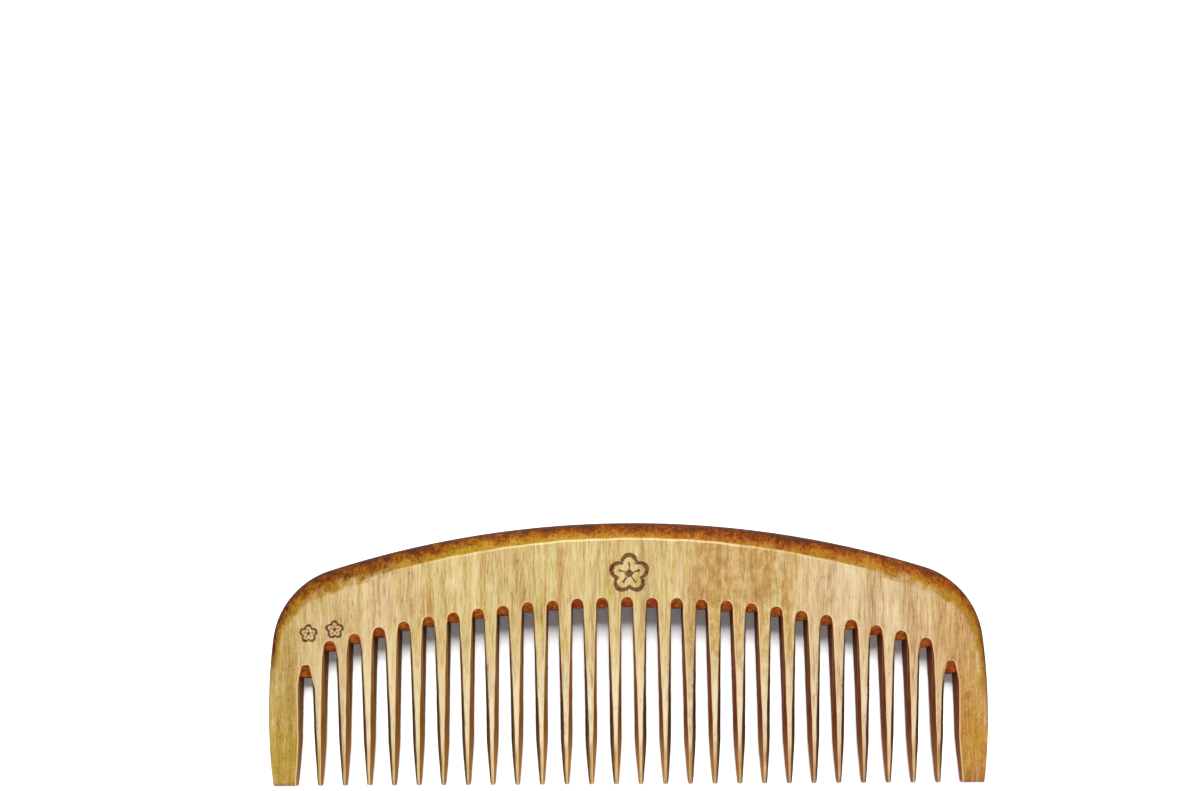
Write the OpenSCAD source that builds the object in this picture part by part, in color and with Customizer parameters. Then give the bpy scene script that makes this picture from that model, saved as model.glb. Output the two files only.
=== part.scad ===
// A wide-toothed kushi comb, sawn and filed from one piece of wood.
//
// The comb is a wedge: thick along the back, thin at the tips. It is drawn
// about its own middle plane, with the tips' line at y = 0 and the back at
// y = comb_h, and is then laid on its rear face, tips towards -Y.
//
// A gap between two teeth is a sawn slot, opened out from both faces by a
// V-shaped file that bites deeper towards the tips, so that a tooth's flat
// face narrows and its sides turn into bevels. The slot ends under the back
// in a crown on each face and in a ridge between them.

/* [Body] */
// Height from the tips to the top of the back
comb_h = 54.1; // [50:0.1:60]
// Thickness at the top of the back
back_t = 9; // [8:0.1:11]
// Thickness at the tips
tip_t = 1.8; // [1.4:0.1:3]
// Width of a guard tooth at the comb's widest place
guard_w = 6.8; // [5:0.1:10]
// Radius of the long arc of the back
back_r = 208; // [180:1:260]
// Radius of the shoulders, where the back turns into the sides
shoulder_r = 17; // [12:0.5:20]
// Radius of the bowed sides
side_r = 125; // [90:1:200]
// Height at which the comb is widest
widest_y = 15.5; // [10:0.5:20]
// Width of the rounded band along the back, at its middle
rim_w = 3; // [2:0.1:4]

/* [Teeth] */
// Number of teeth between the two guard teeth
teeth = 26; // [18:1:30]
// Distance from one tooth to the next
pitch = 5.14; // [4.8:0.01:5.6]
// Width of a tooth at its tip
tip_w = 1; // [0.8:0.05:1.4]
// Width of a tooth's flat face at its tip
tip_face_w = 0.4; // [0.2:0.05:0.7]
// Height above the tips at which a tooth starts to taper
taper_y = 9.5; // [6:0.5:12]
// Size of the bevel that takes the edge off the tips
tip_bevel = 0.3; // [0.1:0.05:0.4]

/* [Gaps] */
// Width of a gap along the straight stretch of the teeth
gap_w = 2.68; // [2.4:0.02:3]
// Height up to which a gap keeps that width
straight_y = 20; // [13:0.5:24]
// Width of the middle gap at its ridge
gullet_w = 2.36; // [2:0.02:2.4]
// Depth of solid wood between the top of the back and the middle gap
back_depth = 15.2; // [12:0.1:18]
// Radius of the arc that the gaps end on
gullet_arc_r = 222; // [180:1:300]
// How far the two end gaps stop short of that arc
end_drop = 3.3; // [0:0.1:5]
// Radius of a gap's crown
crown_r = 1.1; // [0.9:0.05:1.15]
// Radius of an end gap's crown
end_crown_r = 0.75; // [0.6:0.05:1.1]
// Slope's length from a gap's crown down to its ridge
slope_len = 2.25; // [1.5:0.05:3]
// Slope's length in an end gap
end_slope_len = 2.9; // [1.5:0.05:3.5]
// Angle of the filed bevels to a tooth's sides
bevel_angle = 30; // [26:1:36]
// Width of the bevel where it starts, beside the middle gap's ridge
bevel_start = 0.1; // [0.05:0.01:0.2]
// Angle at which a crown's sides spread
crown_spread = 14; // [8:1:20]

/* [Hidden] */
$fn = 96;
// Sides of the large discs, which need more than the small rounds
disc_fn = 360;
wood = "burlywood";
// Room that a cutting shape has past what it cuts
over = 1;
// How much larger the shoulders are cut than their tangent circle, so that
// their edges cross those of the back and the sides cleanly
shoulder_over = 0.02;
// How far inside its round a crown's spreading sides start, for the same reason
crown_under = 0.02;

// The wedge
half_tip = tip_t / 2;
wedge_slope = (back_t - tip_t) / 2 / comb_h;
wedge_angle = atan(wedge_slope);
function half_t(y) = half_tip + y * wedge_slope;

// The half-round edge meets the flat faces rim_w inside the back's outline
rim_half_t = half_t(comb_h - rim_w);
edge_r = (rim_w * rim_w + rim_half_t * rim_half_t) / (2 * rim_w);

// The outline: the back's arc, then on each side a shoulder and a bowed side.
// Each centre is a point [x, y], given for the right-hand side.
gap_reach = teeth * pitch / 2;
half_len = gap_reach + gap_w / 2 + guard_w;
back_c = [0, comb_h - back_r];
side_c = [half_len - side_r, widest_y];
side_from_back = side_c - back_c;
between = norm(side_from_back);
along = side_from_back / between;
across = [-along[1], along[0]];
to_back = back_r - shoulder_r;
to_side = side_r - shoulder_r;
shoulder_u = (between * between + to_back * to_back - to_side * to_side) / (2 * between);
shoulder_v = -sqrt(to_back * to_back - shoulder_u * shoulder_u);
shoulder_c = back_c + along * shoulder_u + across * shoulder_v;
back_dir = shoulder_c - back_c;
side_dir = shoulder_c - side_c;
shoulder_from = atan2(side_dir[1], side_dir[0]);
shoulder_to = atan2(back_dir[1], back_dir[0]);
foot_half = side_c[0] + sqrt(side_r * side_r - widest_y * widest_y);

// The gaps: i runs from 0 to teeth, and x is 0 at the comb's middle
mid_top = comb_h - back_depth;
mid_ridge = mid_top - slope_len;
function is_end(i) = i == 0 || i == teeth;
function gap_x(i) = (i - teeth / 2) * pitch;
function arc_fall(x) = gullet_arc_r - sqrt(gullet_arc_r * gullet_arc_r - x * x);
function gap_top(i) = mid_top - arc_fall(gap_x(i)) - (is_end(i) ? end_drop : 0);
function gap_slope_len(i) = is_end(i) ? end_slope_len : slope_len;
function gap_crown_r(i) = is_end(i) ? end_crown_r : crown_r;

// Half the slot's width at a height above straight_y
slot_narrowing = (gap_w - gullet_w) / 2 / (mid_ridge - straight_y);
function slot_half(y) = gap_w / 2 - max(0, y - straight_y) * slot_narrowing;

// The V-shaped cut: half its width on a tooth's face, and its bottom line
bevel_tip_half = (pitch - tip_face_w) / 2;
bevel_top_half = gullet_w / 2 + bevel_start;
function bevel_half(y) = bevel_tip_half + (bevel_top_half - bevel_tip_half) * y / mid_ridge;
function bevel_bottom(y) = half_t(y) - bevel_half(y) / tan(bevel_angle);
bevel_tilt = atan((bevel_bottom(mid_ridge) - bevel_bottom(0)) / mid_ridge);
// The V as it is seen along its own bottom line
bevel_v = tan(bevel_angle) / cos(bevel_tilt);

// How the comb lies: turned so that its rear face is level, and centred
nose_y = (comb_h - edge_r) * cos(wedge_angle) + edge_r;
tip_y = -(half_tip - tip_bevel) * sin(wedge_angle);
rest_lift = half_tip * cos(wedge_angle);

// A disc about the middle plane with a half-round edge
module round_edged_disc(centre, r) {
    translate([centre[0], centre[1], 0])
        rotate_extrude($fn = disc_fn) {
            translate([0, -edge_r]) square([r - edge_r, 2 * edge_r]);
            intersection() {
                translate([r - edge_r, 0]) circle(r = edge_r);
                translate([r - edge_r, -edge_r]) square([edge_r, 2 * edge_r]);
            }
        }
}

// What the right shoulder's rounding takes off the corner of back and side
module corner_waste() {
    // Far enough to pass the corner where the back and the side would meet
    reach = 3 * shoulder_r;
    difference() {
        translate([shoulder_c[0], shoulder_c[1], -back_t])
            linear_extrude(2 * back_t)
                polygon([
                    [0, 0],
                    reach * [cos(shoulder_from), sin(shoulder_from)],
                    reach * [1, 1],
                    reach * [cos(shoulder_to), sin(shoulder_to)]
                ]);
        round_edged_disc(shoulder_c, shoulder_r + shoulder_over);
    }
}

// The wedge between the two faces, with the edge taken off at the tips
module wedge() {
    top_y = comb_h + over;
    half_end = half_tip - tip_bevel;
    rotate([90, 0, 90])
        translate([0, 0, -half_len - over])
            linear_extrude(2 * (half_len + over))
                polygon([
                    [0, -half_end],
                    [tip_bevel, -half_t(tip_bevel)],
                    [top_y, -half_t(top_y)],
                    [top_y, half_t(top_y)],
                    [tip_bevel, half_t(tip_bevel)],
                    [0, half_end]
                ]);
}

// Bevels across the two outer corners of the guard teeth
module foot_bevels() {
    flat_half = foot_half - tip_bevel;
    rise = comb_h + over;
    translate([0, 0, -back_t])
        linear_extrude(2 * back_t)
            polygon([
                [-flat_half, 0],
                [flat_half, 0],
                [flat_half + rise, rise],
                [-flat_half - rise, rise]
            ]);
}

// The sawn slot: straight sides, which spread at the tips
module slot(i) {
    top = gap_top(i) + over;
    ridge = gap_top(i) - gap_slope_len(i);
    tip_half = (pitch - tip_w) / 2;
    flare = (tip_half - gap_w / 2) / taper_y;
    side = concat(
        [[slot_half(ridge), top], [slot_half(ridge), ridge]],
        ridge > straight_y ? [[gap_w / 2, straight_y]] : [],
        [
            [gap_w / 2, taper_y],
            [tip_half - flare * tip_bevel, tip_bevel],
            [tip_half + tip_bevel, 0],
            [tip_half + tip_bevel, -over]
        ]
    );
    other = [for (k = [len(side) - 1 : -1 : 0]) [-side[k][0], side[k][1]]];
    translate([0, 0, -back_t])
        linear_extrude(2 * back_t)
            polygon(concat(side, other));
}

// The V that opens a slot out from the front face
module front_bevel(i) {
    start = gap_top(i) + over;
    depth = 2 * back_t;
    translate([0, start, bevel_bottom(start)])
        rotate([90 + bevel_tilt, 0, 0])
            linear_extrude(start + 2 * over)
                polygon([[0, 0], [depth * bevel_v, depth], [-depth * bevel_v, depth]]);
}

// The plan that ends the slot and its bevels: a crown whose sides spread
module crown(i) {
    r = gap_crown_r(i);
    c = gap_top(i) - r;
    start_r = r - crown_under;
    x = start_r * cos(crown_spread);
    y = c + start_r * sin(crown_spread);
    spread_y = y - (pitch / 2 - x) / tan(crown_spread);
    translate([0, c, -back_t]) cylinder(r = r, h = 2 * back_t);
    translate([0, 0, -back_t])
        linear_extrude(2 * back_t)
            polygon([
                [-x, y],
                [x, y],
                [pitch / 2, spread_y],
                [pitch / 2, -2 * over],
                [-pitch / 2, -2 * over],
                [-pitch / 2, spread_y]
            ]);
}

// The wood left under a crown: two slopes that meet in a ridge
module ridge(i) {
    top = gap_top(i);
    run = gap_slope_len(i);
    // Twice the slope's length, so that the slopes run out past the faces
    long = 2 * run;
    rise = 2 * half_t(top);
    rotate([90, 0, 90])
        translate([0, 0, -pitch])
            linear_extrude(2 * pitch)
                polygon([
                    [top - run, 0],
                    [top - run + long, rise],
                    [top - run + long, -rise]
                ]);
}

module gap(i) {
    translate([gap_x(i), 0, 0])
        difference() {
            intersection() {
                union() {
                    slot(i);
                    front_bevel(i);
                    mirror([0, 0, 1]) front_bevel(i);
                }
                crown(i);
            }
            ridge(i);
        }
}

// The comb about its own middle plane
module upright_comb() {
    difference() {
        intersection() {
            round_edged_disc(back_c, back_r);
            round_edged_disc(side_c, side_r);
            round_edged_disc([-side_c[0], side_c[1]], side_r);
            wedge();
            foot_bevels();
        }
        corner_waste();
        mirror([1, 0, 0]) corner_waste();
        for (i = [0 : teeth]) gap(i);
    }
}

module comb() {
    color(wood)
        translate([0, -(nose_y + tip_y) / 2, rest_lift])
            rotate([wedge_angle, 0, 0])
                upright_comb();
}

comb();
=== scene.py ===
# A wide-toothed kushi comb of pale wood, lying on its rear face.
#
# The comb's own frame has x along its length, y from the tips' line up to the
# back, and n out of its middle plane. Sizes in that frame are in millimetres.
# The front half of the surface is built there, mirrored to the rear half, and
# then laid down into the row's frame, in metres.
import math

import bmesh
import bpy
import numpy as np
from mathutils import Euler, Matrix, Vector
from mathutils.geometry import delaunay_2d_cdt


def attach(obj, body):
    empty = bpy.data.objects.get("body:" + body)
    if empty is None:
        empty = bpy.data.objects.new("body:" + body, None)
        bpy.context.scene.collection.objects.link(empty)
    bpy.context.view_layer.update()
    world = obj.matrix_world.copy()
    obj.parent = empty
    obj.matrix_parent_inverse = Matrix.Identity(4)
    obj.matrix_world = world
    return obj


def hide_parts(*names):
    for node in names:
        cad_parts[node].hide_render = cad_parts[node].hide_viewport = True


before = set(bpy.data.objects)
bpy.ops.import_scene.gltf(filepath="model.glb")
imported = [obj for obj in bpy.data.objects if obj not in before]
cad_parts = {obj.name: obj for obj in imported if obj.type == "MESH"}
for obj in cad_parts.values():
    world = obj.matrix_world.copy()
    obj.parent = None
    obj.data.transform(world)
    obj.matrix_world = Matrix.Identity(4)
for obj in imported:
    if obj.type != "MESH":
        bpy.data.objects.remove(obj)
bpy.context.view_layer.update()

MM = 0.001
# Seeded, so that every run makes the same comb
rng = np.random.default_rng(11)

# Sizes of the body, in millimetres: its height, its thickness at the back and at the tips,
# and the width of a guard tooth at its top
COMB_H = 54.1
BACK_T = 9.0
TIP_T = 1.8
GUARD_W = 6.8
# Radii of the outline's arcs, and the height at which the comb is widest
BACK_R = 208.0
SHOULDER_R = 17.0
SIDE_R = 125.0
WIDEST_Y = 15.5
# Width of the rounded band, at its middle and at the shoulders' start
RIM_W = 3.0
RIM_SHOULDER_W = 4.2
# Height of the rounding at the tips, and how deep it goes into their sides
TIP_R = 0.3
TIP_SIDE_SHARE = 0.15

# The narrow teeth: how many, how far apart, and the width of a tip and of its face
TEETH = 26
PITCH = 5.14
TIP_W = 1.0
TIP_FACE_W = 0.4
# A gap is this wide, flares below the first height and narrows above the second one, to the
# last width at its ridge
GAP_W = 2.68
TAPER_Y = 9.5
STRAIGHT_Y = 20.0
GULLET_W = 2.36
# The gaps' tops: how far below the back the middle one is, the radius of the arc that they
# lie on, and how much lower the end ones are
BACK_DEPTH = 15.2
GULLET_ARC_R = 222.0
END_DROP = 3.3
# The crowns' radii, and half the flat stretch at the top of an end gap's crown
CROWN_R = 1.12
END_CROWN_R = 0.4
END_CROWN_FLAT = 0.33
# Length of the slope from a crown's top down to its ridge, and how far its sides spread
SLOPE_LEN = 2.25
END_SLOPE_LEN = 2.9
CROWN_SPREAD = math.radians(14)
# Depth of a bevel for each millimetre of its width, at some heights
STEEP_HEIGHTS = (0, 9, 12.5, 16.7, 21, 27, 37)
STEEPNESS = (1.65, 1.6, 1.5, 1.25, 0.85, 0.6, 0.5)
# Least width of a bevel, and its greatest width on a guard tooth
BEVEL_START = 0.1
GUARD_BEVEL = 0.35
# How far the tips lean to the right
LEAN = 0.1
# How far the bevels' edges bow out from a straight line
BEVEL_BOW = 0.11
# How far the ridge in a gap sags at its middle
RIDGE_SAG = 0.2
# Depth of the small step at the top of a crown
CROWN_LIP = 0.14
# How far up towards the face a slope curls at its sides, as a share of the way, and the
# share of the slope, from its ridge up, over which the curl grows
SCOOP = 0.55
SCOOP_GROWTH = 0.3
# Rounding of the arrises beside a wall and beside a face
WALL_ARRIS = 0.12
FACE_ARRIS = 0.08
# The most that an arris takes of the wall beside it, and of the bevel
ARRIS_WALL_SHARE = 0.45
ARRIS_BEVEL_SHARE = 0.3
# The most that a bevel takes of a wall's height
BEVEL_WALL_SHARE = 0.9
# How strongly a slot's flare gathers at the tips
FLARE_POWER = 1.15

# Unevenness of the hand work: tops and radii of the crowns, and lengths of their slopes
TOP_UNEVEN = 0.12
RADIUS_UNEVEN = 0.04
SLOPE_UNEVEN = 0.15
# Height of the waves in a wall and in a bevel's edge, and their lengths along y
WALL_WAVE = 0.018
BEVEL_WAVE = 0.03
CUT_WAVE_LENGTHS = (23.0, 11.0, 5.2)
# Height of the waves in the rounded band, as a share of its width, and their lengths
RIM_WAVE = 0.014
RIM_WAVE_LENGTHS = (31.0, 14.0, 6.5)
# The smallest wave's height as a share of the greatest
LEAST_WAVE = 0.4

# The wedge between the two faces
wedge_slope = (BACK_T - TIP_T) / 2 / COMB_H
wedge_angle = math.atan(wedge_slope)
rim_half_t = TIP_T / 2 + (COMB_H - RIM_W) * wedge_slope
edge_r = (RIM_W**2 + rim_half_t**2) / (2 * RIM_W)

# The outline's arcs on the right-hand side
half_len = TEETH * PITCH / 2 + GAP_W / 2 + GUARD_W
back_c = np.array([0, COMB_H - BACK_R])
side_c = np.array([half_len - SIDE_R, WIDEST_Y])
between = np.linalg.norm(side_c - back_c)
along = (side_c - back_c) / between
across = np.array([-along[1], along[0]])
to_back = BACK_R - SHOULDER_R
to_side = SIDE_R - SHOULDER_R
shoulder_u = (between**2 + to_back**2 - to_side**2) / (2 * between)
shoulder_v = -math.sqrt(to_back**2 - shoulder_u**2)
shoulder_c = back_c + along * shoulder_u + across * shoulder_v
side_end = math.atan2(*(shoulder_c - side_c)[::-1])
back_end = math.atan2(*(shoulder_c - back_c)[::-1])
foot_angle = math.asin(-WIDEST_Y / SIDE_R)

mid_top = COMB_H - BACK_DEPTH
mid_ridge = mid_top - SLOPE_LEN


def half_t(y):
    """Half the thickness between the flat faces at height y."""
    return TIP_T / 2 + y * wedge_slope


def tip_round(y):
    """How far every surface draws in at height y, to round the tips' edges."""
    near = np.clip(1 - np.asarray(y, float) / TIP_R, 0, 1)
    return TIP_R * (1 - np.sqrt(1 - near**2))


def lay_down(points):
    """Points of the comb's own frame, in millimetres, in the row's frame, in metres."""
    nose = (COMB_H - edge_r) * math.cos(wedge_angle) + edge_r
    tip = -(TIP_T / 2 - TIP_R) * math.sin(wedge_angle)
    turn = Euler((wedge_angle, 0, 0)).to_matrix()
    laid = np.asarray(points) @ np.array(turn).T
    laid[:, 1] -= (nose + tip) / 2
    laid[:, 2] += TIP_T / 2 * math.cos(wedge_angle)
    return laid * MM


# What each vertex shows: a wall, bevel or arris, the edge between wall and bevel, how far in
# from the outline it lies as a share of the band, a gap's slope, the slope's ridge, and
# which side of its gap it is on
MARKS = ("wall", "bevel", "arris", "edge", "rim", "slope", "ridge", "side")
# The mark for the band of a vertex that is well away from it
OFF_RIM = 2.0


class Surface:
    """Vertices of the front half in the comb's own frame, with what each one shows."""

    def __init__(self):
        self.points = []
        self.marks = []
        self.faces = []

    def add(self, point, **marks):
        self.points.append(point)
        marks.setdefault("rim", OFF_RIM)
        self.marks.append([marks.get(name, 0.0) for name in MARKS])
        return len(self.points) - 1

    def grid(self, rows):
        """Quads between rows of vertex numbers, each row as long as the next."""
        for low, high in zip(rows, rows[1:]):
            for k in range(len(low) - 1):
                corners = [low[k], low[k + 1], high[k + 1], high[k]]
                unique = list(dict.fromkeys(corners))
                if len(unique) > 2:
                    self.faces.append(unique)


surface = Surface()


def waves(amplitude, lengths=CUT_WAVE_LENGTHS):
    """A gentle unevenness along y, as a hand-held saw or file leaves it."""
    phases = rng.uniform(0, 2 * math.pi, len(lengths))
    sizes = amplitude * rng.uniform(LEAST_WAVE, 1.0, len(lengths))

    def height(y):
        return sum(a * np.sin(2 * math.pi * y / l + p) for a, l, p in zip(sizes, lengths, phases))

    return height


def slot_half(y):
    """Half the sawn slot's width at height y."""
    upward = np.clip((y - STRAIGHT_Y) / (mid_ridge - STRAIGHT_Y), 0, 1)
    narrowing = (GAP_W - GULLET_W) / 2 * upward
    tip_half = (PITCH - TIP_W) / 2
    flare = np.clip(1 - y / TAPER_Y, 0, 1) ** FLARE_POWER
    return GAP_W / 2 - narrowing + (tip_half - GAP_W / 2) * flare


def bevel_half(y):
    """Half the width that the filed bevels open a gap to, on a tooth's face."""
    share = y / mid_ridge
    tip = (PITCH - TIP_FACE_W) / 2
    top = GULLET_W / 2 + BEVEL_START
    return tip + (top - tip) * share + 4 * BEVEL_BOW * share * (1 - share)


def crown_half(v, r, flat):
    """Half a crown's width at depth v below its top, with corners of radius r and a flat top."""
    v = np.asarray(v, float)
    turn_v = r * (1 - math.sin(CROWN_SPREAD))
    round_part = np.sqrt(np.clip(r**2 - (r - np.minimum(v, r)) ** 2, 0, None))
    spread_part = r * math.cos(CROWN_SPREAD) + (v - turn_v) * math.tan(CROWN_SPREAD)
    return flat + np.where(v < turn_v, round_part, spread_part)


# Heights of the rounded tip's rows, as shares of its radius, and of the first row above them
TIP_ROWS = (0.0, 0.2, 0.55, 1.0)
FIRST_ROW = 0.8
# Rows up the side of a gap, up the spreading part of its crown and round the crown's arc
SIDE_ROWS = 22
CROWN_ROWS = 7
ARC_ROWS = 7
SLOPE_COLUMNS = 8
# How many points of a gap's profile belong to the wall and its arris, and where the wall's
# middle one lies, as a share of the way up to the arris
WALL_POINTS = 4
WALL_MIDDLE = 0.6
# Width of the strip on the face beside a bevel, and the most that it and the face's arris
# take of the room there
FACE_STRIP = 0.35
STRIP_ROOM_SHARE = 0.6
ARRIS_ROOM_SHARE = 0.3
# Room beside a bevel where no other one is near, and the least room counted elsewhere
WIDE_ROOM = 2.0
LEAST_ROOM = 0.05


def on_guard(i, side):
    """Whether this side of gap i belongs to a guard tooth."""
    return (i, side) in ((0, -1), (TEETH, 1))


def gap_stations(i):
    """The plan of one gap from its left tip, over the crown, to its right tip."""
    end = i in (0, TEETH)
    gap_x = (i - TEETH / 2) * PITCH
    fall = GULLET_ARC_R - math.sqrt(GULLET_ARC_R**2 - gap_x**2)
    drop = END_DROP if end else 0
    top = mid_top - fall - drop + rng.uniform(-TOP_UNEVEN, TOP_UNEVEN)
    run = (END_SLOPE_LEN if end else SLOPE_LEN) + rng.uniform(-SLOPE_UNEVEN, SLOPE_UNEVEN)
    r = (END_CROWN_R if end else CROWN_R) + rng.uniform(-RADIUS_UNEVEN, RADIUS_UNEVEN)
    flat = END_CROWN_FLAT if end else 0.0
    ridge = top - run
    heights = np.concatenate([TIP_R * np.array(TIP_ROWS), np.linspace(FIRST_ROW, ridge, SIDE_ROWS)])
    turn_v = r * (1 - math.sin(CROWN_SPREAD))
    spread_v = np.linspace(run, turn_v, CROWN_ROWS)[1:]
    arc = np.linspace(CROWN_SPREAD, math.pi / 2, ARC_ROWS)[1:]
    depths = np.concatenate([spread_v, r * (1 - np.sin(arc))])
    y = np.concatenate([heights, top - depths])
    highest = half_t(top) - CROWN_LIP
    floor = highest * (1 - depths / run)
    curl = SCOOP * np.clip((1 - depths / run) / SCOOP_GROWTH, 0, 1)
    low = np.concatenate([np.zeros(len(heights)), floor + curl * (highest - floor)])
    crown = crown_half(top - y, r, flat)
    crown[-1] = 0
    sides = []
    for side in (-1, 1):
        wall_wave = waves(WALL_WAVE)
        bevel_wave = waves(BEVEL_WAVE)
        slot = slot_half(y) + wall_wave(y) + TIP_SIDE_SHARE * tip_round(y)
        x = np.minimum(slot, crown)
        bevel = np.maximum(np.minimum(bevel_half(y) + bevel_wave(y), crown) - x, BEVEL_START)
        if on_guard(i, side):
            bevel = np.minimum(bevel, GUARD_BEVEL)
        lean = side * LEAN * np.clip(1 - y / mid_ridge, 0, 1)
        sides.append((side, x + lean, y, bevel, low))
    return gap_x, len(heights), np.concatenate([[0.0], floor]), sides


def gap_profile(x, y, normal, bevel, low, room):
    """Points across one station, from the foot of the wall to the face."""
    face = half_t(y) - float(tip_round(y))
    steep = np.interp(y, STEEP_HEIGHTS, STEEPNESS)
    depth = min(bevel * steep, (face - low) * BEVEL_WALL_SHARE)
    wall_top = face - depth
    length = math.hypot(bevel, depth)
    ahead = np.array([bevel, depth]) / length
    bevel_limit = ARRIS_BEVEL_SHARE * length
    wall_soft = min(WALL_ARRIS, ARRIS_WALL_SHARE * (wall_top - low), bevel_limit)
    face_soft = min(FACE_ARRIS, bevel_limit)
    corner = np.array([0.0, wall_top])
    brink = np.array([bevel, face])
    under = corner - (0, wall_soft)
    start = corner + ahead * wall_soft
    stop = brink - ahead * face_soft
    on_face = brink + (min(face_soft, room * ARRIS_ROOM_SHARE), 0)
    inner = brink + (min(FACE_STRIP, room * STRIP_ROOM_SHARE), 0)
    # Each arris is rounded by one point between its ends, pulled halfway to the corner
    offsets = [
        np.array([0.0, low]),
        np.array([0.0, low + WALL_MIDDLE * (under[1] - low)]),
        under,
        0.25 * under + 0.5 * corner + 0.25 * start,
        start,
        start + (stop - start) / 3,
        start + (stop - start) * 2 / 3,
        stop,
        0.25 * stop + 0.5 * brink + 0.25 * on_face,
        on_face,
        inner,
    ]
    out = []
    for k, (o, n) in enumerate(offsets):
        px, py = x + normal[0] * o, y + normal[1] * o
        # Above the ridge the face rises with y, so points on it follow the plane
        lift = half_t(py) - half_t(y) if k >= WALL_POINTS else 0.0
        out.append((px, py, n + lift))
    return out


# What each point of a gap's profile shows: wall, bevel, arris and edge
PROFILE_MARKS = (
    (1, 0, 0, 0),
    (1, 0, 0, 0.3),
    (1, 0, 0, 1),
    (0.5, 0.5, 0.3, 1),
    (0, 1, 0, 1),
    (0, 1, 0, 0.5),
    (0, 1, 0, 0),
    (0, 1, 0, 0),
    (0, 0.6, 1, 0),
    (0, 0, 1, 0),
    (0, 0, 0, 0),
)


def build_gap(i):
    """Walls, bevels and the front slope of one gap. Returns its strips of vertex numbers."""
    gap_x, n_side, floor, sides = gap_stations(i)
    columns = []
    for side, x, y, bevel, low in sides:
        tangent = np.gradient(np.stack([x, y], 1), axis=0)
        tangent /= np.linalg.norm(tangent, axis=1)[:, None]
        strip = []
        for k in range(len(x)):
            if k < n_side:
                normal = (side, 0.0)
            elif k == len(x) - 1:
                normal = (0.0, 1.0)
            else:
                normal = (side * tangent[k, 1], -tangent[k, 0])
            room = max(PITCH / 2 - x[k] - bevel[k], LEAST_ROOM)
            if on_guard(i, side) or k >= n_side:
                room = WIDE_ROOM
            profile = gap_profile(gap_x + side * x[k], y[k], normal, bevel[k], low[k], room)
            row = []
            for point, (wall, cut, arris, edge) in zip(profile, PROFILE_MARKS):
                if k < n_side:
                    vertex = surface.add(point, wall=wall, bevel=cut, arris=arris, edge=edge, side=side)
                else:
                    vertex = surface.add(point, arris=arris, slope=max(wall, cut), side=side)
                row.append(vertex)
            strip.append(row)
        columns.append(strip)
    left, right = columns
    # Both sides meet in one station at the crown's top
    right[-1] = left[-1]
    around = left + right[-2::-1]
    surface.grid(around)
    build_slope(gap_x, n_side, floor, left, right)
    return around


def build_slope(gap_x, n_side, floor, left, right):
    """The front slope of one gap, row by row from its ridge to its crown's top."""
    rows = []
    for k in range(n_side - 1, len(left)):
        a = left[k][0]
        b = right[k][0]
        if a == b:
            rows.append([a] * (SLOPE_COLUMNS + 1))
            continue
        pa = np.array(surface.points[a])
        pb = np.array(surface.points[b])
        depth = floor[k - n_side + 1]
        up = (k - n_side + 1) / (len(left) - n_side)
        row = [a]
        for c in range(1, SLOPE_COLUMNS):
            # Columns stand closer towards the sides, where the slope curls up
            aside = -math.cos(math.pi * c / SLOPE_COLUMNS)
            x = gap_x + aside * (pb[0] - pa[0]) / 2
            y = pa[1] - RIDGE_SAG * (1 - aside**2) * (1 - up) ** 2
            height = depth + (pa[2] - depth) * aside**4
            row.append(surface.add((x, y, height), slope=1.0, ridge=float(k < n_side)))
        row.append(b)
        rows.append(row)
    surface.grid(rows)


gaps = [build_gap(i) for i in range(TEETH + 1)]


# The rounded band along the outline: its stations on one side, one shoulder and half the
# back, its rows, and the distances of more rows on the face beside it
SIDE_STEPS = 40
SHOULDER_STEPS = 30
BACK_STEPS = 90
RIM_ROWS = 9
RIM_FACE_ROWS = (0.1, 0.55, 1.3)


def outline():
    """Points from the left foot over the back to the right foot, each with its outward way."""
    foot = [foot_angle + a for a in np.array(TIP_ROWS) * TIP_R / SIDE_R]
    angles = foot + list(np.linspace(foot_angle + FIRST_ROW / SIDE_R, side_end, SIDE_STEPS))
    right = [(side_c, SIDE_R, a) for a in angles]
    right += [(shoulder_c, SHOULDER_R, a) for a in np.linspace(side_end, back_end, SHOULDER_STEPS)[1:]]
    right += [(back_c, BACK_R, a) for a in np.linspace(back_end, math.pi / 2, BACK_STEPS)[1:]]
    out = []
    for centre, r, a in right:
        way = np.array([math.cos(a), math.sin(a)])
        out.append((centre + r * way, way))
    mirrored = [(p * (-1, 1), w * (-1, 1)) for p, w in out[:-1]]
    return mirrored + out[::-1]


# How far out a shoulder starts, and how high it ends
shoulder_start = shoulder_c[0] + SHOULDER_R * math.cos(back_end)
shoulder_foot = shoulder_c[1] + SHOULDER_R * math.sin(side_end)
# Width of the band where the shoulder ends and at the foot, and how it narrows in between
RIM_SIDE_W = 1.7
RIM_FOOT_W = 0.28
RIM_SIDE_POWER = 1.6
# The band's width against that of the solid's
RIM_SPREAD = 1.04
# How far the surface stays inside the solid's own outline
OUTLINE_INSET = 0.012
# Height over which the band's rows turn level towards the feet
FOOT_BLEND = 6.0


def band_width(point, way):
    """Width of the rounded band at a place of the outline."""
    x, y = abs(point[0]), point[1]
    if x <= shoulder_start and y > shoulder_foot:
        return RIM_W + (RIM_SHOULDER_W - RIM_W) * (x / shoulder_start) ** 2
    if y > shoulder_foot:
        turned = (back_end - math.atan2(way[1], abs(way[0]))) / (back_end - side_end)
        return RIM_SHOULDER_W + (RIM_SIDE_W - RIM_SHOULDER_W) * turned
    share = y / shoulder_foot
    return RIM_FOOT_W + (RIM_SIDE_W - RIM_FOOT_W) * share**RIM_SIDE_POWER


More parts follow.
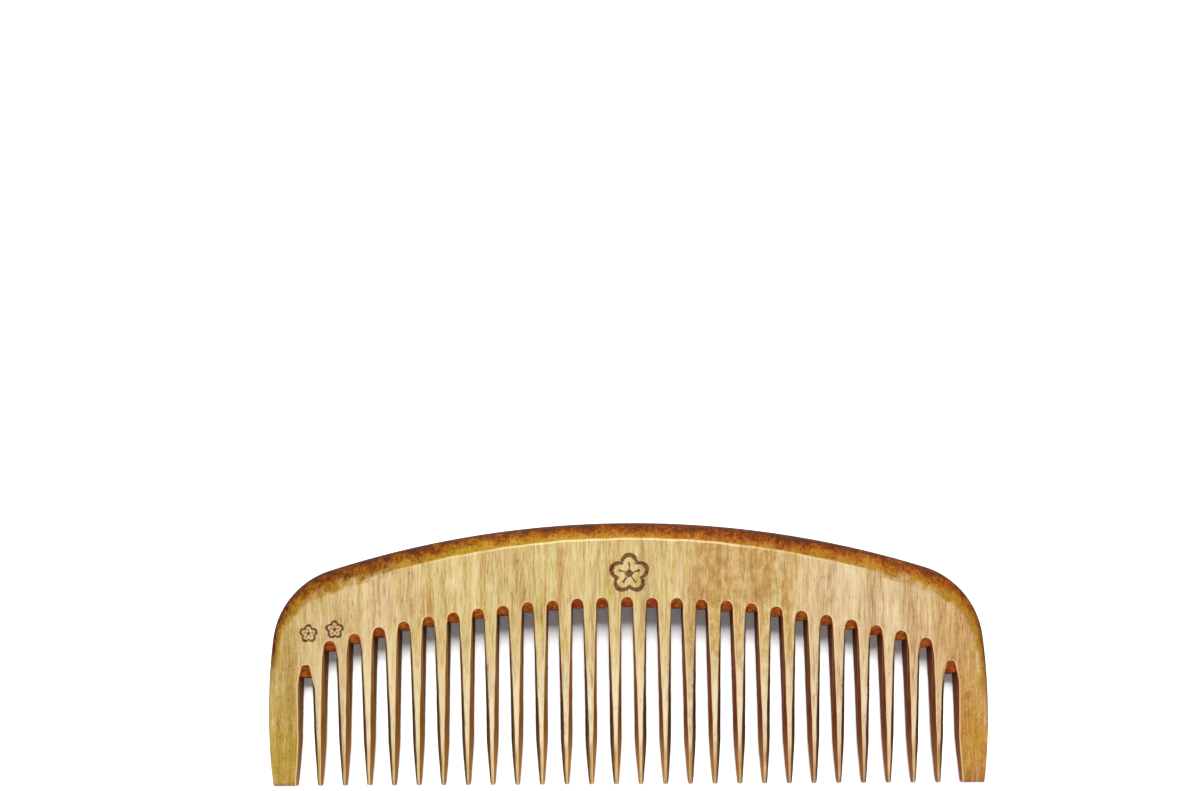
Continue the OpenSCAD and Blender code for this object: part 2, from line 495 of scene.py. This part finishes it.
def build_rim():
    """The half-round band, from the outline to a little way onto the face."""
    wobble = waves(RIM_WAVE, RIM_WAVE_LENGTHS)
    rows = []
    for point, way in outline():
        drawn_in = float(tip_round(point[1]))
        # Near the feet the rows run level, so that the feet end flat
        level = min(1.0, point[1] / FOOT_BLEND)
        way = way * (level, level) + (math.copysign(1 - level, way[0]), 0)
        point = point - way * OUTLINE_INSET
        w = band_width(point, way) * (RIM_SPREAD + wobble(point[0] + point[1]))
        crease = point - way * w
        h = half_t(crease[1]) - drawn_in
        row = []
        # An arc of a circle where the band is narrow for its height, else of an ellipse
        round_w, round_h, last = w, h, math.pi / 2
        if w < h:
            round_w = round_h = (w**2 + h**2) / (2 * w)
            last = math.asin(min(1.0, h / round_h))
        for k in range(RIM_ROWS):
            share = k / (RIM_ROWS - 1)
            d = round_w * (1 - math.cos(last * share))
            n = round_h * math.sin(last * share)
            place = point - way * (d + TIP_SIDE_SHARE * drawn_in)
            row.append(surface.add((place[0], place[1], n), rim=d / w))
        for d in RIM_FACE_ROWS:
            place = point - way * (w + d + TIP_SIDE_SHARE * drawn_in)
            n = half_t(place[1]) - float(tip_round(place[1]))
            row.append(surface.add((place[0], place[1], n), rim=1 + d / RIM_FACE_ROWS[-1]))
        rows.append(row)
    surface.grid([r[::-1] for r in rows])
    return rows


rim = build_rim()

# For the flat face's triangles: none outside its border, and the distance, in millimetres,
# below which points would merge
INSIDE_ONLY = 1
MERGE_DISTANCE = 1e-6
# Vertices this close to the middle plane belong to both halves
ON_MIDDLE = 1e-9


def close_surface():
    """Adds the tips, the guards' feet and the flat face, which the strips leave open."""
    for left_gap, right_gap in zip(gaps, gaps[1:]):
        surface.grid([left_gap[-1], right_gap[0]])
    surface.faces.append(rim[0] + gaps[0][0][::-1])
    surface.faces.append(gaps[-1][-1] + rim[-1][::-1])
    # The rounded rows at the tips, which aren't flat, go straight across each face
    rounded = len(TIP_ROWS)
    inner = [[row[-1] for row in rim]]
    inner += [[row[-1] for row in around[::-1]] for around in gaps[::-1]]
    for right_side, left_side in zip(inner, inner[1:] + inner[:1]):
        surface.grid([right_side[::-1][:rounded], left_side[:rounded]])
    border = [v for row in inner for v in row[rounded - 1:len(row) - rounded + 1]]
    plan = [Vector(surface.points[v][:2]) for v in border]
    loop = list(range(len(border)))
    result = delaunay_2d_cdt(plan, [], [loop], INSIDE_ONLY, MERGE_DISTANCE)
    triangles, origins = result[2:4]
    for triangle in triangles:
        surface.faces.append([border[origins[v][0]] for v in triangle])


close_surface()


def build_mesh(name):
    """The whole comb: the front half and its mirror image, laid down in the row's frame."""
    front = np.array(surface.points)
    marks = np.array(surface.marks)
    shared = np.abs(front[:, 2]) < ON_MIDDLE
    twin = np.where(shared, np.arange(len(front)), 0)
    twin[~shared] = len(front) + np.arange((~shared).sum())
    points = np.vstack([front, front[~shared] * (1, 1, -1)])
    marks = np.vstack([marks, marks[~shared]])
    faces = surface.faces + [[int(twin[v]) for v in face[::-1]] for face in surface.faces]
    mesh = bpy.data.meshes.new(name)
    mesh.from_pydata(lay_down(points).tolist(), [], faces)
    work = bmesh.new()
    work.from_mesh(mesh)
    bmesh.ops.recalc_face_normals(work, faces=work.faces)
    work.to_mesh(mesh)
    work.free()
    for column, mark in enumerate(MARKS):
        attribute = mesh.attributes.new(mark, "FLOAT", "POINT")
        attribute.data.foreach_set("value", np.ascontiguousarray(marks[:, column], np.float32))
    smooth_by_area(mesh)
    return mesh


def smooth_by_area(mesh):
    """Shades the mesh smooth, with each point's normal led by the largest faces around it."""
    mesh.shade_smooth()
    normals = np.zeros((len(mesh.vertices), 3))
    for polygon in mesh.polygons:
        normals[list(polygon.vertices)] += np.array(polygon.normal) * polygon.area
    normals /= np.linalg.norm(normals, axis=1)[:, None]
    mesh.normals_split_custom_set_from_vertices(normals.tolist())


comb = bpy.data.objects.new("comb_wood", build_mesh("comb_wood"))
bpy.context.scene.collection.objects.link(comb)


# Colours of the wood, as they would show on a screen under even white light; some of them are painted
# highlights and painted shade, as said below.
# The flat faces: their hues, where they are paler, tan or golden, and the teeth's ends, with a painted
# highlight along the teeth's middles and painted shade at the ends of the tips and feet
CREAM = (172, 157, 110)
PINKISH = (172, 140, 103)
YELLOWISH = (157, 142, 72)
PINK_CREAM = (181, 154, 133)
TAN = (150, 111, 60)
GOLD_LEFT = (146, 122, 52)
GOLD_RIGHT = (158, 114, 50)
GOLD_OLIVE = (142, 118, 34)
GOLD_BROWN = (132, 82, 34)
TOOTH_HIGHLIGHT = (208, 197, 178)
TOOTH_WARM = (158, 108, 66)
TIP_SHADE_GREY = (128, 118, 92)
FOOT_RIGHT = (124, 72, 34)
FOOT_SHADE_BROWN = (110, 84, 56)
STREAK_BROWN = (166, 122, 76)
STREAK_PALE = (196, 180, 144)
# The rounded band, from the outline inwards, with painted shade along its outermost edge, and a painted
# highlight along the crease beside the face
RIM_EDGE_SHADE = (56, 38, 26)
RIM_BROWN = (54, 28, 12)
RIM_RED = (80, 36, 8)
RIM_ORANGE = (110, 57, 10)
RIM_OLIVE = (104, 64, 10)
RIM_GOLD = (133, 98, 29)
RIM_YELLOW = (134, 104, 27)
CREASE_HIGHLIGHT = (196, 176, 134)
# The gaps: bevels and walls at the left and the right, arrises and slopes; the pale arris colour is a
# painted highlight, and the dark one is painted shade
BEVEL_LEFT = (112, 70, 22)
BEVEL_RIGHT = (90, 42, 16)
BEVEL_TIP = (176, 124, 76)
WALL_LEFT = (122, 80, 48)
WALL_RIGHT = (122, 68, 46)
ARRIS_HIGHLIGHT = (190, 166, 124)
ARRIS_SHADE = (46, 30, 20)
SLOPE_ORANGE = (196, 112, 36)
SLOPE_RED = (188, 88, 40)
SLOPE_DARK = (128, 56, 22)
# The burnt blossoms
BURNT = (66, 28, 14)

# Roughness of the faces and of the gaps, and the faint gloss of oiled wood
FACE_ROUGHNESS = 0.55
CUT_ROUGHNESS = 0.75
GLOSS = 0.02
# The relief of the grain: its depth in millimetres, its strength, and how much deeper a burn is
GRAIN_DEPTH = 0.03
GRAIN_STRENGTH = 0.5
BURN_DEPTH = 0.8

# Streaks of the flat faces: waves for each millimetre along x and y, seed and contrast
STREAKS = (
    (3.6, 0.16, 71.0, 0.75),
    (1.5, 0.08, 72.0, 0.5),
    (0.6, 0.04, 73.0, 0.5),
    (0.25, 0.02, 74.0, 0.5),
)

# The three burnt blossoms on the front face: centre, radius and line width, in millimetres
BLOSSOMS = (
    ((0.5, 16.6), 3.8, 1.0),
    ((-66.0, 4.6), 1.7, 0.6),
    ((-60.6, 5.4), 1.7, 0.6),
)
PETALS = 5
# How far off the drawn line wanders, in millimetres
RAGGED = 0.15


def linear(red, green, blue):
    """A colour given as it shows on a screen, 0 to 255, in the linear values that nodes take."""
    return (*[((c / 255 + 0.055) / 1.055) ** 2.4 for c in (red, green, blue)], 1.0)


class Shader:
    """Short calls for the nodes of one material."""

    def __init__(self, name):
        self.material = bpy.data.materials.new(name)
        self.material.use_nodes = True
        self.tree = self.material.node_tree
        self.bsdf = self.tree.nodes["Principled BSDF"]
        self.place = self.node("ShaderNodeTexCoord").outputs["Object"]

    def node(self, kind, inputs=None, **settings):
        node = self.tree.nodes.new(kind)
        for key, value in settings.items():
            setattr(node, key, value)
        for socket, value in (inputs or {}).items():
            self.feed(node.inputs[socket], value)
        return node

    def feed(self, socket, value):
        if isinstance(value, bpy.types.NodeSocket):
            self.tree.links.new(value, socket)
        else:
            socket.default_value = value

    def math(self, operation, a, b=0.0):
        return self.node("ShaderNodeMath", {0: a, 1: b}, operation=operation).outputs[0]

    def plus(self, first, *others):
        for other in others:
            first = self.math("ADD", first, other)
        return first

    def times(self, first, *others):
        for other in others:
            first = self.math("MULTIPLY", first, other)
        return first

    def ramp(self, value, low, high, start=0.0, end=1.0, smooth=True):
        """A step from start at low to end at high, smooth or straight."""
        inputs = {"Value": value, "From Min": low, "From Max": high, "To Min": start, "To Max": end}
        kind = "SMOOTHSTEP" if smooth else "LINEAR"
        return self.node("ShaderNodeMapRange", inputs, interpolation_type=kind).outputs["Result"]

    def straight(self, value, low, high, start, end):
        return self.ramp(value, low, high, start, end, smooth=False)

    def mix(self, factor, a, b, blend="MIX"):
        """Colour a turned into colour b; either is a socket or one of the colours above."""
        a, b = [c if isinstance(c, bpy.types.NodeSocket) else linear(*c) for c in (a, b)]
        node = self.node("ShaderNodeMix", {0: factor, 6: a, 7: b}, data_type="RGBA", blend_type=blend)
        return node.outputs[2]

    def noise(self, x, y, z, seed, detail=2.0, rough=0.5):
        """Noise with so many waves for each millimetre along x, y and z, around 0.5."""
        inputs = {"Vector": self.place, "Scale": (x / MM, y / MM, z / MM), "Location": (seed, 0, 0)}
        mapping = self.node("ShaderNodeMapping", inputs)
        inputs = {"Vector": mapping.outputs[0], "Scale": 1.0, "Detail": detail, "Roughness": rough}
        return self.node("ShaderNodeTexNoise", inputs).outputs[0]

    def mark(self, name):
        return self.node("ShaderNodeAttribute", attribute_name=name).outputs["Fac"]


def face_colour(s, x, y):
    """The flat faces: bands and streaks along y, golden towards the guards."""
    broad = s.noise(0.3, 0.03, 0.05, 3.0, 3)
    band = s.noise(0.45, 0.03, 0.2, 11.0, 3)
    creamy = s.noise(0.9, 0.06, 0.6, 5.0, 3)
    colour = s.mix(s.ramp(broad, 0.3, 0.7, 0.25, 0.75), PINKISH, YELLOWISH)
    colour = s.mix(s.ramp(creamy, 0.35, 0.7, 0.0, 0.9), colour, CREAM)
    # Small flecks of both hues, a few fibres wide
    fleck = s.noise(2.2, 0.25, 1.2, 7.0, 3)
    colour = s.mix(s.ramp(fleck, 0.5, 0.68, 0.0, 0.75), colour, YELLOWISH)
    colour = s.mix(s.ramp(fleck, 0.5, 0.32, 0.0, 0.75), colour, PINKISH)
    # Paler and pinker towards the shoulders
    right_shoulder = s.ramp(x, 28 * MM, 44 * MM, 0.0, 0.4)
    left_shoulder = s.ramp(x, -38 * MM, -54 * MM, 0.0, 0.3)
    colour = s.mix(s.plus(right_shoulder, left_shoulder), colour, PINK_CREAM)
    # Tan heartwood right of the middle, and in narrow bands elsewhere
    heart = s.times(s.ramp(x, 8 * MM, 16 * MM), s.ramp(x, 40 * MM, 30 * MM))
    tan = s.math("MAXIMUM", s.times(heart, s.ramp(band, 0.25, 0.6)), s.ramp(band, 0.55, 0.75))
    colour = s.mix(s.times(tan, 0.75), colour, TAN)
    # Golden towards the guards, most of all at their feet
    away = s.math("ABSOLUTE", x)
    gold = s.times(s.ramp(away, 50 * MM, 72 * MM), s.ramp(y, 8 * MM, -22 * MM, 0.5, 1.0))
    rightward = s.ramp(x, -10 * MM, 10 * MM)
    colour = s.mix(gold, colour, s.mix(rightward, GOLD_LEFT, GOLD_RIGHT))
    # Olive and brown patches in the gold, more of them on the right
    patch = s.noise(0.45, 0.25, 0.25, 27.0, 4, 0.6)
    patchy = s.times(gold, s.ramp(x, -10 * MM, 10 * MM, 0.5, 1.0))
    colour = s.mix(s.times(patchy, s.ramp(patch, 0.5, 0.66, 0.0, 0.8)), colour, GOLD_OLIVE)
    colour = s.mix(s.times(patchy, s.ramp(patch, 0.48, 0.34, 0.0, 0.8)), colour, GOLD_BROWN)
    colour = tooth_colour(s, x, y, away, colour)
    # Brown below 0 and pale above it
    tone = streak_tone(s, gold, heart)
    colour = s.mix(s.straight(tone, 0.0, -0.5, 0.0, 0.9), colour, STREAK_BROWN, "MULTIPLY")
    return s.mix(s.straight(tone, 0.0, 0.5, 0.0, 0.9), colour, STREAK_PALE)


def tooth_colour(s, x, y, away, colour):
    """The lower ends of the teeth and guards, over the faces' colour."""
    # A painted highlight along the teeth's middles, weakest towards the guards
    teeth = s.ramp(away, 68 * MM, 67 * MM)
    off_middle = s.math("SUBTRACT", s.math("FRACT", s.math("DIVIDE", x, PITCH * MM)), 0.5)
    lengthwise = s.times(s.ramp(y, 5 * MM, -12 * MM), s.ramp(y, -22 * MM, -17 * MM))
    crosswise = s.ramp(s.math("ABSOLUTE", off_middle), 0.15, 0.05, 0.5, 1.0)
    pale = s.times(lengthwise, crosswise, s.ramp(away, 45 * MM, 20 * MM, 0.32, 0.55), teeth)
    colour = s.mix(pale, colour, TOOTH_HIGHLIGHT)
    # All but the left ones are warmer above their tips, and painted shade greys every tip's end
    warm = s.times(s.ramp(y, -17 * MM, -21 * MM, 0.0, 0.4), s.ramp(x, -25 * MM, -5 * MM), teeth)
    colour = s.mix(warm, colour, TOOTH_WARM)
    tips = s.times(s.ramp(y, -25 * MM, -26.8 * MM, 0.0, 0.85), teeth)
    colour = s.mix(tips, colour, TIP_SHADE_GREY)
    # The right guard reddens towards its foot, and both guards end in a brown line of painted shade
    foot = s.times(s.ramp(y, -22.5 * MM, -26.5 * MM, 0.0, 0.6), s.ramp(x, 66 * MM, 67 * MM))
    colour = s.mix(foot, colour, FOOT_RIGHT)
    foot = s.times(s.ramp(y, -26.2 * MM, -26.8 * MM, 0.0, 0.9), s.ramp(away, 66 * MM, 67 * MM))
    return s.mix(foot, colour, FOOT_SHADE_BROWN)


def streak_tone(s, gold, heart):
    """How much paler, or below 0 browner, streaks and pores make a place of the flat faces."""
    tone = 0.0
    for across, along_y, seed, contrast in STREAKS:
        streak = s.math("SUBTRACT", s.noise(across, along_y, across / 2, seed, 1), 0.5)
        tone = s.plus(tone, s.times(streak, contrast))
    pores = s.ramp(s.noise(5.5, 0.5, 3.0, 21.0), 0.6, 0.7, 0.0, 0.3)
    tone = s.math("SUBTRACT", tone, pores)
    # The golden parts are less streaked and more speckled, the heartwood more mottled
    tone = s.times(tone, s.straight(gold, 0.0, 1.0, 1.0, 0.6), s.straight(heart, 0.0, 1.0, 1.0, 0.6))
    mottle = s.math("SUBTRACT", s.noise(0.8, 0.5, 0.5, 25.0, 4, 0.65), 0.5)
    mottle = s.times(mottle, s.straight(heart, 0.0, 1.0, 0.0, 0.9))
    speckle = s.math("SUBTRACT", s.noise(4.0, 2.2, 3.0, 23.0, 2, 0.6), 0.5)
    speckle = s.times(speckle, s.straight(gold, 0.0, 1.0, 0.25, 0.6))
    return s.plus(tone, mottle, speckle)


def rim_colour(s, x, y, face):
    """The rounded band, dark at the outline with painted shade along its outermost edge, golden beside
    the face, and with a painted highlight along the crease.
    """
    blotch = s.noise(0.25, 0.25, 0.25, 31.0, 4, 0.6)
    ticks = s.noise(2.6, 0.9, 1.5, 37.0, 3, 0.6)
    clouds = s.noise(1.1, 1.0, 1.0, 33.0, 3, 0.6)
    place = s.mark("rim")
    away = s.math("ABSOLUTE", x)
    # The colours reach less or more far from the outline: unevenly, and by where along the
    # back a place is, with more gold left of the middle and at the right shoulder
    golden = s.plus(
        s.ramp(x, -6 * MM, 14 * MM, 0.08, -0.08),
        s.ramp(x, 28 * MM, 50 * MM, 0.0, 0.16),
        s.ramp(x, -20 * MM, -40 * MM, 0.0, -0.07),
    )
    golden = s.times(golden, s.ramp(place, 0.05, 0.5, 0.1, 1.0))
    shift = s.plus(
        s.ramp(blotch, 0.3, 0.7, -0.2, 0.2),
        s.ramp(ticks, 0.3, 0.7, -0.14, 0.14),
        s.ramp(clouds, 0.3, 0.7, -0.16, 0.16),
    )
    sides = s.plus(s.ramp(x, 48 * MM, 58 * MM, 0.0, 0.1), s.ramp(x, -38 * MM, -50 * MM, 0.0, -0.08))
    depth = s.plus(place, sides, s.plus(shift, golden))
    # More olive at the left, and more yellow left of the middle
    orange = s.mix(s.ramp(x, -8 * MM, -34 * MM), RIM_ORANGE, RIM_OLIVE)
    yellow = s.times(s.ramp(x, 0.0, -12 * MM), s.ramp(x, -56 * MM, -42 * MM))
    gold = s.mix(yellow, RIM_GOLD, RIM_YELLOW)
    gold = s.mix(s.ramp(clouds, 0.5, 0.66, 0.0, 0.65), gold, orange)
    colour = s.mix(s.ramp(depth, 0.02, 0.25), RIM_BROWN, RIM_RED)
    colour = s.mix(s.ramp(depth, 0.22, 0.55), colour, orange)
    colour = s.mix(s.ramp(depth, 0.5, 0.9), colour, gold)
    # Painted shade along the band's outermost edge
    outline_shade = s.ramp(s.plus(place, s.ramp(ticks, 0.3, 0.7, -0.03, 0.03)), 0.1, 0.0)
    colour = s.mix(outline_shade, colour, RIM_EDGE_SHADE)
    # The band ends crisply over the back and fades out round the shoulders
    crisp_end = s.ramp(place, 0.85, 0.95)
    frayed = s.straight(s.noise(0.5, 0.4, 0.4, 39.0, 4, 0.6), 0.3, 0.7, -0.4, 0.4)
    feather = s.plus(
        place,
        frayed,
        s.ramp(x, 57 * MM, 68 * MM, 0.05, -0.3),
        s.ramp(x, -57 * MM, -68 * MM, 0.0, -0.25),
    )
    inputs = {0: s.ramp(away, 42 * MM, 58 * MM), 2: crisp_end, 3: s.ramp(feather, 0.6, 1.5)}
    colour = s.mix(s.node("ShaderNodeMix", inputs).outputs[0], colour, face)
    # Down the guards only the outermost edge stays brown, from lower down on the right
    lower = s.plus(y, s.ramp(x, 0.0, 10 * MM, 0.0, 6 * MM))
    edge_only = s.times(s.ramp(lower, 1 * MM, -8 * MM), s.ramp(place, 0.0, 0.35, 0.6, 1.0))
    colour = s.mix(edge_only, colour, face)
    # A painted highlight along the crease beside the face, which fades out before the shoulders
    crease = s.times(
        s.ramp(place, 0.88, 0.97),
        s.ramp(place, 1.14, 1.05),
        s.ramp(away, 46 * MM, 12 * MM, 0.0, 0.6),
        s.ramp(ticks, 0.3, 0.6, 0.5, 1.0),
    )
    return s.mix(crease, colour, CREASE_HIGHLIGHT)


def cut_colour(s, x, y, face):
    """Walls, bevels and slopes of the gaps, which the saw and file left brown, with painted shade on
    the sides that face outward and along the slopes' edges, and a painted highlight on the inner
    arrises.
    """
    mottle = s.noise(0.9, 0.25, 0.9, 41.0, 3, 0.6)
    speckle = s.noise(0.9, 0.9, 0.9, 43.0, 4, 0.7)
    # 1 on the sides that face the comb's middle and 0 on the others
    inward = s.ramp(s.times(s.mark("side"), x), -9 * MM, 9 * MM)
    outward = s.ramp(inward, 0.8, 0.2)
    # A painted highlight on the arrises of the sides that face the middle
    colour = s.mix(s.times(s.mark("arris"), s.times(inward, 0.9)), face, ARRIS_HIGHLIGHT)
    # Olive brown on the left, redder on the right, and paler towards the tips
    rightward = s.ramp(x, -20 * MM, 20 * MM)
    middling = s.ramp(s.math("ABSOLUTE", x), 10 * MM, 45 * MM, 0.75, 0.3)
    tipward = s.times(s.ramp(y, -12 * MM, -25 * MM), middling)
    bevel_brown = s.mix(tipward, s.mix(rightward, BEVEL_LEFT, BEVEL_RIGHT), BEVEL_TIP)
    wall_brown = s.mix(rightward, WALL_LEFT, WALL_RIGHT)
    bevel = s.mix(s.ramp(mottle, 0.35, 0.7, 0.0, 0.4), bevel_brown, wall_brown)
    # Painted shade darkens the bevels' edges on the sides that face outward
    shade = s.times(outward, s.ramp(s.mark("edge"), 0.0, 0.6, 0.45, 0.95))
    bevel = s.mix(shade, bevel, ARRIS_SHADE)
    colour = s.mix(s.mark("bevel"), colour, bevel)
    # Painted shade darkens the walls that face outward
    wall = s.mix(s.times(outward, 0.7), wall_brown, ARRIS_SHADE)
    colour = s.mix(s.mark("wall"), colour, wall)
    # Some gaps are redder than others
    redder = s.ramp(s.noise(0.13, 0.05, 0.05, 47.0, 2), 0.4, 0.6)
    slope = s.mix(redder, SLOPE_ORANGE, SLOPE_RED)
    slope = s.mix(s.ramp(speckle, 0.35, 0.65), slope, SLOPE_DARK)
    # Painted shade along each slope's ridge
    slope = s.mix(s.ramp(s.mark("ridge"), 0.0, 0.8, 0.0, 0.9), slope, ARRIS_SHADE)
    # Painted shade in a dark line where the slope meets the face
    slope = s.mix(s.ramp(s.mark("slope"), 0.95, 0.5, 0.0, 0.85), slope, ARRIS_SHADE)
    return s.mix(s.ramp(s.mark("slope"), 0.0, 0.4), colour, slope)


def blossom(s, x, y, centre, radius, line):
    """How burnt a place is by the drawn outline of a plain five-petalled blossom."""
    size = radius * MM
    dx = s.math("SUBTRACT", x, centre[0] * MM)
    dy = s.math("SUBTRACT", y, centre[1] * MM)
    away = s.math("SQRT", s.plus(s.times(dx, dx), s.times(dy, dy)))
    turn = s.math("ARCTAN2", dx, dy)
    lobes = s.math("ABSOLUTE", s.math("COSINE", s.times(turn, PETALS / 2)))
    # The petals reach from 0.7 of the radius, between them, to the whole of it
    petal = s.node("ShaderNodeMath", {0: lobes, 1: 0.3 * size, 2: 0.7 * size}, operation="MULTIPLY_ADD")
    off_line = s.math("ABSOLUTE", s.math("SUBTRACT", away, petal.outputs[0]))
    drawn = s.ramp(off_line, 0.6 * line * MM, 0.35 * line * MM)
    heart = s.ramp(away, 0.24 * size, 0.18 * size)
    # One vein in each petal, from the heart outwards
    vein = s.times(s.ramp(lobes, 0.94, 0.98), s.ramp(away, 0.66 * size, 0.56 * size))
    return s.math("MAXIMUM", drawn, s.math("MAXIMUM", heart, vein))


def wood_material():
    """Pale comb wood: streaked along y, brown in the gaps and along its rounded edge."""
    s = Shader("comb_wood")
    split = s.node("ShaderNodeSeparateXYZ", {0: s.place})
    x, y = split.outputs[0], split.outputs[1]
    face = face_colour(s, x, y)
    colour = cut_colour(s, x, y, rim_colour(s, x, y, face))
    # The blossoms are burnt into the front face alone, with slightly ragged lines
    rag = s.noise(2.5, 2.5, 2.5, 51.0, 2)
    ragged_x = s.plus(x, s.ramp(rag, 0.2, 0.8, -RAGGED * MM, RAGGED * MM))
    burnt = 0.0
    for centre, radius, line in BLOSSOMS:
        burnt = s.math("MAXIMUM", burnt, blossom(s, ragged_x, y, centre, radius, line))
    geometry = s.node("ShaderNodeNewGeometry")
    normal = s.node("ShaderNodeSeparateXYZ", {0: geometry.outputs["Normal"]})
    burnt = s.times(burnt, s.ramp(normal.outputs[2], 0.9, 0.95))
    colour = s.mix(s.times(burnt, s.ramp(rag, 0.3, 0.6, 1.0, 0.8)), colour, BURNT)
    s.feed(s.bsdf.inputs["Base Color"], colour)
    # Satin faces, duller in the gaps
    cut = s.math("MAXIMUM", s.mark("wall"), s.math("MAXIMUM", s.mark("bevel"), s.mark("slope")))
    s.feed(s.bsdf.inputs["Roughness"], s.ramp(cut, 0.0, 1.0, FACE_ROUGHNESS, CUT_ROUGHNESS))
    s.bsdf.inputs["Specular IOR Level"].default_value = GLOSS
    grain = s.noise(6.0, 0.5, 4.0, 61.0, 4, 0.6)
    relief = s.math("SUBTRACT", grain, s.times(burnt, BURN_DEPTH))
    inputs = {"Height": relief, "Strength": GRAIN_STRENGTH, "Distance": GRAIN_DEPTH * MM}
    s.feed(s.bsdf.inputs["Normal"], s.node("ShaderNodeBump", inputs).outputs[0])
    return s.material


comb.data.materials.append(wood_material())
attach(comb, "root")
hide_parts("comb")


# The floor: half its width in metres, its reflectance and its roughness
FLOOR_HALF = 3.0
FLOOR_WHITE = 0.92
FLOOR_ROUGHNESS = 0.9


def build_floor():
    """A wide, pale, matt floor."""
    low, high = -FLOOR_HALF, FLOOR_HALF
    corners = [(low, low, 0), (high, low, 0), (high, high, 0), (low, high, 0)]
    mesh = bpy.data.meshes.new("floor")
    mesh.from_pydata(corners, [], [(0, 1, 2, 3)])
    floor = bpy.data.objects.new("floor", mesh)
    bpy.context.scene.collection.objects.link(floor)
    s = Shader("floor_paper")
    s.bsdf.inputs["Base Color"].default_value = (FLOOR_WHITE, FLOOR_WHITE, FLOOR_WHITE, 1)
    s.bsdf.inputs["Roughness"].default_value = FLOOR_ROUGHNESS
    s.bsdf.inputs["Specular IOR Level"].default_value = 0.0
    mesh.materials.append(s.material)


def add_light(name, place, size, energy, aim=(0, 0, 0)):
    """A soft rectangular light that points at the comb's middle, or at another place."""
    light = bpy.data.lights.new(name, "AREA")
    light.shape = "RECTANGLE"
    light.size, light.size_y = size
    light.energy = energy
    lamp = bpy.data.objects.new(name, light)
    lamp.location = place
    lamp.rotation_euler = (Vector(aim) - Vector(place)).to_track_quat("-Z", "Y").to_euler()
    lamp.visible_camera = False
    bpy.context.scene.collection.objects.link(lamp)


# The key light: its height in degrees, distance and size in metres, and power in watts
KEY_ELEVATION = 43
KEY_DISTANCE = 1.3
KEY_SIZE = (0.5, 0.42)
KEY_POWER = 38
# The light above the comb
TOP_HEIGHT = 0.45
TOP_SIZE = (0.1, 0.1)
TOP_POWER = 0.1
# The low light in front of the tips, which reaches into the ends of the gaps
FRONT_ELEVATION = 10
FRONT_DISTANCE = 1.5
FRONT_SIZE = (0.5, 0.15)
FRONT_POWER = 13
# A thin strip above the tips that lights only the floor in front of them
STRIP_PLACE = (0, -0.0272, 0.005)
STRIP_AIM = (0, -0.0472, 0)
STRIP_SIZE = (0.17, 0.002)
STRIP_POWER = 0.0125
# Strength of the even light from all round
FILL = 0.3


def behind(distance, elevation):
    """A place so far from the comb's middle along +y and so many degrees high."""
    elevation = math.radians(elevation)
    return (0, distance * math.cos(elevation), abs(distance) * math.sin(elevation))


def build_light():
    """A key light from behind the back, along the gaps, weaker ones in front and above, a fill."""
    add_light("key_light", behind(KEY_DISTANCE, KEY_ELEVATION), KEY_SIZE, KEY_POWER)
    add_light("front_light", behind(-FRONT_DISTANCE, FRONT_ELEVATION), FRONT_SIZE, FRONT_POWER)
    add_light("top_light", (0, 0, TOP_HEIGHT), TOP_SIZE, TOP_POWER)
    add_light("strip_light", STRIP_PLACE, STRIP_SIZE, STRIP_POWER, STRIP_AIM)
    world = bpy.data.worlds.new("studio")
    world.use_nodes = True
    background = world.node_tree.nodes["Background"]
    background.inputs["Color"].default_value = (1, 1, 1, 1)
    background.inputs["Strength"].default_value = FILL
    bpy.context.scene.world = world
    bpy.context.scene.view_settings.view_transform = "Standard"


# The camera: lens and sensor in millimetres, nearest distance and place in metres, and its
# turns about x, y and z in degrees
LENS = 39
SENSOR = 36
NEAREST = 0.01
VIEWPOINT = (-0.003381, 0.026460, 0.278410)
VIEW_TURNS = (5.715, 0.4414, -0.394)


def build_camera():
    """The photograph's view: from straight above, a little towards the tips."""
    camera = bpy.data.cameras.new("camera")
    camera.lens = LENS
    camera.sensor_width = SENSOR
    camera.clip_start = NEAREST
    view = bpy.data.objects.new("camera", camera)
    view.location = VIEWPOINT
    view.rotation_euler = [math.radians(a) for a in VIEW_TURNS]
    bpy.context.scene.collection.objects.link(view)
    bpy.context.scene.camera = view


build_floor()
build_light()
build_camera()
